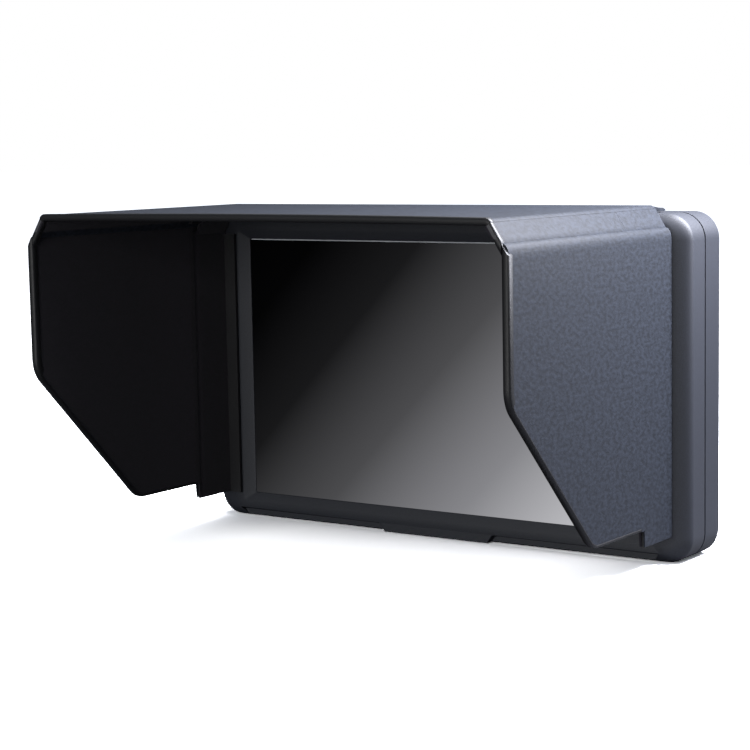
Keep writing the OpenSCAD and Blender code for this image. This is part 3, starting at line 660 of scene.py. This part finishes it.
def top_stations(end):
    """Stations along the top from the bezel to the front, closest together at the fold line."""
    half, count = 1.9, 8
    fold = [Y_TOP + half - 2 * half * i / count for i in range(count + 1)]
    return [HOOD_BACK, -20, -26, -30] + fold + [-40, -50, -60, -70, -80, -88, end]


def top_loops(shallow, deep, end, bow):
    """A layer of the top between two depths, from the bezel to its front end."""
    loops = []
    for y in top_stations(end):
        outer = top_line(shallow, y, bow)
        inner = list(reversed(top_line(deep, y, bow)))
        loops.append([(x, y, z) for x, z in outer + inner])
    return loops


def slant_loops(shallow, deep, stations):
    """A layer of the slanted strip between two depths, from the roll down to the side flap's edge."""
    down = Vector((math.cos(BEND), -math.sin(BEND)))
    normal = Vector((math.sin(BEND), math.cos(BEND)))
    foot_x = FLAP_X - PANEL_T - PANEL_GAP
    knuckle = Vector((KNUCKLE_X, KNUCKLE_Z))
    loops = []
    for y in stations:
        outer = knuckle + normal * (KNUCKLE_R - shallow)
        inner = knuckle + normal * (KNUCKLE_R - deep)
        points = []
        for base in (outer, inner):
            run = (foot_x - base.x) / down.x
            points.append([base + down * (PANEL_GAP + (run - PANEL_GAP) * i / 4) for i in range(5)])
        loops.append([(p.x, y, p.y) for p in points[0] + list(reversed(points[1]))])
    return loops


def tape_section(width, low, high, steps=6):
    """A binding's section as (how far in from the edge, depth): rounded over the edge, flat behind."""
    middle, half = (low + high) / 2, (high - low) / 2
    nose = min(0.5, width / 2)
    points = [(width, middle + half - 0.12), (width - 0.15, middle + half)]
    for i in range(steps + 1):
        angle = math.pi / 2 - math.pi * i / steps
        points.append((nose - nose * math.cos(angle), middle + half * math.sin(angle)))
    return points + [(width - 0.15, middle - half), (width, middle - half + 0.12)]


def flap_tape_loops(width):
    """The tape bound round a side flap's free edge, cut off under the slanted strip."""
    path = flap_outline()
    path[0] = Vector((Y_SIDE - PANEL_T - 0.3, FLAP_Z))
    directions = inward(path)
    loops = []
    for i, (point, way) in enumerate(zip(path, directions)):
        loop = []
        wide = width if point.x < Y_FRONT + 1 else width * NARROW_TAPE
        section = tape_section(wide, -TAPE_LIP, PANEL_T + TAPE_LIP)
        for u, depth in section:
            spot = point + way * u
            x = FLAP_X - depth
            z = slope_z(min(x, FLAP_X), 0.15) if i == len(path) - 1 else spot.y
            loop.append((x, spot.x, z))
        loops.append(loop)
    return loops


def top_tape_loops(width, bow):
    """The thicker hem along the top's front edge, rolled with its long edges."""
    section = tape_section(width, -TAPE_LIP, PANEL_T + 0.06)
    loops = []
    count = len(top_line(0.0, Y_FRONT, bow))
    lines = {depth: top_line(depth, Y_FRONT, bow) for u, depth in section}
    for i in range(count):
        loops.append([(lines[depth][i][0], Y_FRONT + u, lines[depth][i][1]) for u, depth in section])
    return loops


def slant_tape_loops(width):
    """The tape across the front end of a slanted strip."""
    down = Vector((math.cos(BEND), -math.sin(BEND)))
    normal = Vector((math.sin(BEND), math.cos(BEND)))
    knuckle = Vector((KNUCKLE_X, KNUCKLE_Z))
    section = tape_section(width, -0.06, PANEL_T + 0.02)
    loops = []
    for i in range(6):
        loop = []
        for u, depth in section:
            base = knuckle + normal * (KNUCKLE_R - depth)
            run = (FLAP_X - PANEL_T - 0.12 - base.x) / down.x
            spot = base + down * (0.1 + (run - 0.1) * i / 5)
            loop.append((spot.x, Y_FRONT + u, spot.y))
        loops.append(loop)
    return loops


def lap_loops():
    """The strip of leatherette that goes back over the top of the housing to its tape."""
    half = CREASE_X - 1.5
    tape_top = box_mm("top_tape")[1].z
    back = box_mm("base_skin")[1].y
    line = [(Y_FACE - 0.35, HOOD_TOP), (Y_FACE + 1.5, HOOD_TOP - 0.2), (back - 2, tape_top + SKIN_T + 0.25),
            (back, tape_top + SKIN_T)]
    lower = [(back, tape_top), (Y_FACE + 3.3, tape_top), (Y_FACE - 0.35, HOOD_TOP - SKIN_T)]
    outline = line + lower
    xs = [-half + 2 * half * i / 8 for i in range(9)]
    return [[(x, y, z) for y, z in outline] for x in xs]


def dress_side(name, flip, props):
    """One side of the hood: its covers, lining and tapes."""
    body = "flap_" + name
    turned = mirrored if flip else list
    cover = loft(f"side_cover_{name}", turned(side_cover_loops(props)), "leatherette")
    lining = loft(f"side_lining_{name}", turned(side_lining_loops()), "felt")
    for piece, skin in ((cover, "skin"), (lining, "lining")):
        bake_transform(piece)
        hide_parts("base_" + skin, f"{body}_{skin}")
    tape_w = props.tape_width / MM
    tape = loft(f"flap_tape_{name}", turned(flap_tape_loops(tape_w)), "edge_binding", body, sharp=50)
    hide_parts(body + "_edging")

    gusset = "gusset_" + name
    gusset_back = box_mm(gusset + "_skin")[1].y
    web = [Y_TOP + 1.6 + (gusset_back + 0.05 - Y_TOP - 1.6) * i / 8 for i in range(9)]
    fixed = slant_loops(0.0, SKIN_T, [HOOD_BACK, -22, -28] + web)
    strip = loft(f"strip_cover_{name}", turned(fixed), "leatherette")
    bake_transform(strip)
    inner = slant_loops(SKIN_T + BOARD_T, PANEL_T, (Y_FACE - 1.2, Y_SIDE + PANEL_T + 0.25))
    strip_lining = loft(f"strip_lining_{name}", turned(inner), "felt", "monitor")
    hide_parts("base_skin")
    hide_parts("base_lining")
    moving = slant_loops(0.0, SKIN_T, (gusset_back, Y_FRONT + EDGE_INSET))
    cover = loft(f"{gusset}_cover", turned(moving), "leatherette", gusset)
    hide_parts(gusset + "_skin")
    loft(f"{gusset}_tape", turned(slant_tape_loops(tape_w)), "edge_binding", gusset, sharp=50)


def dress_top(props):
    """The top of the hood: its cover and lining, each one sheet across the fold line, and the hem along its front.
    """
    bow = props.top_bow / MM
    cover = loft("top_cover", top_loops(0.0, SKIN_T, Y_FRONT + EDGE_INSET, bow), "leatherette")
    lining = loft("top_lining", top_loops(SKIN_T + BOARD_T, PANEL_T, Y_FRONT + EDGE_INSET, bow), "felt")
    for piece, skin in ((cover, "skin"), (lining, "lining")):
        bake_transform(piece)
        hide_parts("base_" + skin, "flap_top_" + skin)
    hem = loft("top_hem", top_tape_loops(props.tape_width / MM, bow), "edge_binding", "flap_top", sharp=50)
    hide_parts("flap_top_edging")
    lap = loft("top_lap", lap_loops(), "leatherette", "monitor")
    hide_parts("base_skin")


def dress_rest():
    """The CAD nodes that show as they are get their material."""
    slots = {part["node"]: part["material_slot"] for part in frame["record"]["subparts"]}
    for node, piece in frame["nodes"].items():
        piece.data.materials.clear()
        piece.data.materials.append(materials[slots[node]])


# Stage


def area_light(name, at, towards, size, power, colour="#ffffff"):
    """A rectangular soft light that looks at a point."""
    data = bpy.data.lights.new(name, "AREA")
    data.shape = "RECTANGLE"
    data.size, data.size_y = size
    data.energy = power
    data.color = paint(colour)[:3]
    lamp = bpy.data.objects.new(name, data)
    bpy.context.scene.collection.objects.link(lamp)
    lamp.visible_camera = False
    lamp.location = at
    lamp.rotation_euler = (Vector(towards) - Vector(at)).to_track_quat("-Z", "Y").to_euler()


def set_lights(props):
    """A broad light overhead, a softer one from the right, and a low fill from the camera's left."""
    area_light("Overhead softbox", (0.1, 0.1, 0.9), (0.02, 0, 0.05), (0.9, 0.7), props.overhead)
    area_light("Right softbox", (0.15, 0.02, 0.2), (0.075, -0.03, 0.07), (0.06, 0.16), props.side_fill,
               "#f2f4ff")
    area_light("Front fill", (0.05, -0.95, 0.15), (0, -0.03, 0.04), (0.6, 0.4), props.front_fill)


def set_world():
    """White to the camera, and a quiet grey for the light that it gives."""
    scene = bpy.context.scene
    scene.world = bpy.data.worlds.new("White studio")
    scene.world.use_nodes = True
    tree = scene.world.node_tree
    tree.nodes.clear()
    path = add_node(tree, "ShaderNodeLightPath")
    seen = add_node(tree, "ShaderNodeBackground", Color=(1, 1, 1, 1), Strength=1.0)
    given = add_node(tree, "ShaderNodeBackground", Color=(0.8, 0.87, 1, 1), Strength=0.25)
    choice = ((path.outputs["Is Camera Ray"], 0), (given.outputs["Background"], 1),
              (seen.outputs["Background"], 2))
    mix = add_node(tree, "ShaderNodeMixShader", choice)
    add_node(tree, "ShaderNodeOutputWorld", [(mix.outputs["Shader"], "Surface")])


def set_floor():
    """A white floor that stays white round a soft contact shadow, which is painted by dimming its glow near the
    object.
    """
    bm = bmesh.new()
    level = Matrix.Translation((0, 0, -FLOOR_DROP))
    bmesh.ops.create_grid(bm, x_segments=1, y_segments=1, size=FLOOR_SIZE, matrix=level)
    mesh = bpy.data.meshes.new("floor")
    bm.to_mesh(mesh)
    bm.free()
    floor = bpy.data.objects.new("floor", mesh)
    bpy.context.scene.collection.objects.link(floor)
    made, shader = new_material("White studio floor", Base_Color=paint("#55565a"), Roughness=0.9)
    tree = made.node_tree
    path = add_node(tree, "ShaderNodeLightPath")
    # Ambient occlusion dims the floor's glow close to the object: a painted contact shadow
    near = add_node(tree, "ShaderNodeAmbientOcclusion", Distance=0.03)
    painted_contact_shade = add_node(tree, "ShaderNodeMapRange", [(near.outputs["AO"], "Value")], From_Min=0.5, From_Max=1.0,
                    To_Min=0.05, To_Max=0.56)
    glow = add_node(tree, "ShaderNodeEmission", [(painted_contact_shade.outputs["Result"], "Strength")], Color=(1, 1, 1, 1))
    lit = add_node(tree, "ShaderNodeBsdfDiffuse", Color=(3, 3, 3, 1))
    seen = add_node(tree, "ShaderNodeAddShader", [(glow.outputs["Emission"], 0), (lit.outputs["BSDF"], 1)])
    choice = ((path.outputs["Is Camera Ray"], 0), (shader.outputs["BSDF"], 1), (seen.outputs["Shader"], 2))
    mix = add_node(tree, "ShaderNodeMixShader", choice)
    tree.links.new(mix.outputs["Shader"], tree.nodes["Material Output"].inputs["Surface"])
    mesh.materials.append(made)


def set_camera():
    """The photograph's camera, worked out from its yaw, pitch and roll."""
    yaw, pitch, turn = (math.radians(a) for a in (CAMERA_YAW, CAMERA_PITCH, CAMERA_ROLL))
    back = Vector((math.sin(yaw) * math.cos(pitch), -math.cos(yaw) * math.cos(pitch), math.sin(pitch)))
    right = (-back).cross(Vector((0, 0, 1))).normalized()
    up = right.cross(-back)
    right, up = (right * math.cos(turn) + up * math.sin(turn), up * math.cos(turn) - right * math.sin(turn))
    data = bpy.data.cameras.new("Camera")
    data.sensor_width = 36
    data.lens = CAMERA_LENS
    camera = bpy.data.objects.new("Camera", data)
    bpy.context.scene.collection.objects.link(camera)
    camera.matrix_world = Matrix.Translation(CAMERA_AT) @ Matrix((right, up, back)).transposed().to_4x4()
    bpy.context.scene.camera = camera


# Add-on


class MonitorProperties(bpy.types.PropertyGroup):
    """What can be changed before the monitor is dressed."""

    bevel_roundness: FloatProperty(name="Bevel roundness",
                                   description="From a chamfer, 0, to a full round, 1", default=0.2, min=0,
                                   max=1, subtype="FACTOR")
    crease_softness: FloatProperty(name="Crease softness",
                                   description="How far under the crease a flap starts to round",
                                   default=0.0007, min=0.0001, max=0.002, unit="LENGTH")
    top_bow: FloatProperty(name="Bow of the top", description="Rise of the top in the middle of its front",
                           default=0.0004, min=0, max=0.002, unit="LENGTH")
    tape_width: FloatProperty(name="Tape width", description="Width of the bound edges on the flaps",
                              default=0.0019, min=0.001, max=0.004, unit="LENGTH")
    threads_per_inch: IntProperty(name="Threads per inch", description="Pitch of the tripod thread",
                                  default=20, min=16, max=24)
    overhead: FloatProperty(name="Overhead light", description="Power of the softbox overhead", default=8,
                            unit="POWER")
    side_fill: FloatProperty(name="Side light", description="Power of the softbox at the right",
                             default=2.8, unit="POWER")
    front_fill: FloatProperty(name="Front fill", description="Power of the fill light", default=5,
                              unit="POWER")


class MONITOR_OT_housing(bpy.types.Operator):
    """Dress the housing, screen, keys and sockets"""

    bl_idname = "monitor.housing"
    bl_label = "Dress the housing"

    def execute(self, context):
        props = context.scene.monitor
        dress_bezel(props)
        dress_screen()
        dress_details()
        dress_thread(props)
        return {"FINISHED"}


class MONITOR_OT_hood(bpy.types.Operator):
    """Dress the folding hood"""

    bl_idname = "monitor.hood"
    bl_label = "Dress the hood"

    def execute(self, context):
        props = context.scene.monitor
        dress_side("right", False, props)
        dress_side("left", True, props)
        dress_top(props)
        return {"FINISHED"}


class MONITOR_OT_stage(bpy.types.Operator):
    """Set the floor, the lights and the camera"""

    bl_idname = "monitor.stage"
    bl_label = "Set the stage"

    def execute(self, context):
        set_world()
        set_floor()
        set_lights(context.scene.monitor)
        set_camera()
        return {"FINISHED"}


class MONITOR_PT_panel(bpy.types.Panel):
    """The monitor's settings and steps in the sidebar"""

    bl_idname = "MONITOR_PT_panel"
    bl_label = "Field monitor"
    bl_space_type = "VIEW_3D"
    bl_region_type = "UI"
    bl_category = "Field monitor"

    def draw(self, context):
        props = context.scene.monitor
        for name in ("bevel_roundness", "crease_softness", "top_bow", "tape_width", "threads_per_inch",
                     "overhead", "side_fill", "front_fill"):
            self.layout.prop(props, name)
        for step in ("monitor.housing", "monitor.hood", "monitor.stage"):
            self.layout.operator(step)


CLASSES = (MonitorProperties, MONITOR_OT_housing, MONITOR_OT_hood, MONITOR_OT_stage, MONITOR_PT_panel)


def register():
    for cls in CLASSES:
        bpy.utils.register_class(cls)
    bpy.types.Scene.monitor = PointerProperty(type=MonitorProperties)


def unregister():
    del bpy.types.Scene.monitor
    for cls in reversed(CLASSES):
        bpy.utils.unregister_class(cls)


def main():
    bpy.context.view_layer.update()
    register()
    bpy.context.scene.view_settings.view_transform = "Standard"
    materials.update(make_materials())
    bpy.ops.monitor.housing()
    bpy.ops.monitor.hood()
    dress_rest()
    bpy.ops.monitor.stage()


if __name__ == "__main__":
    main()
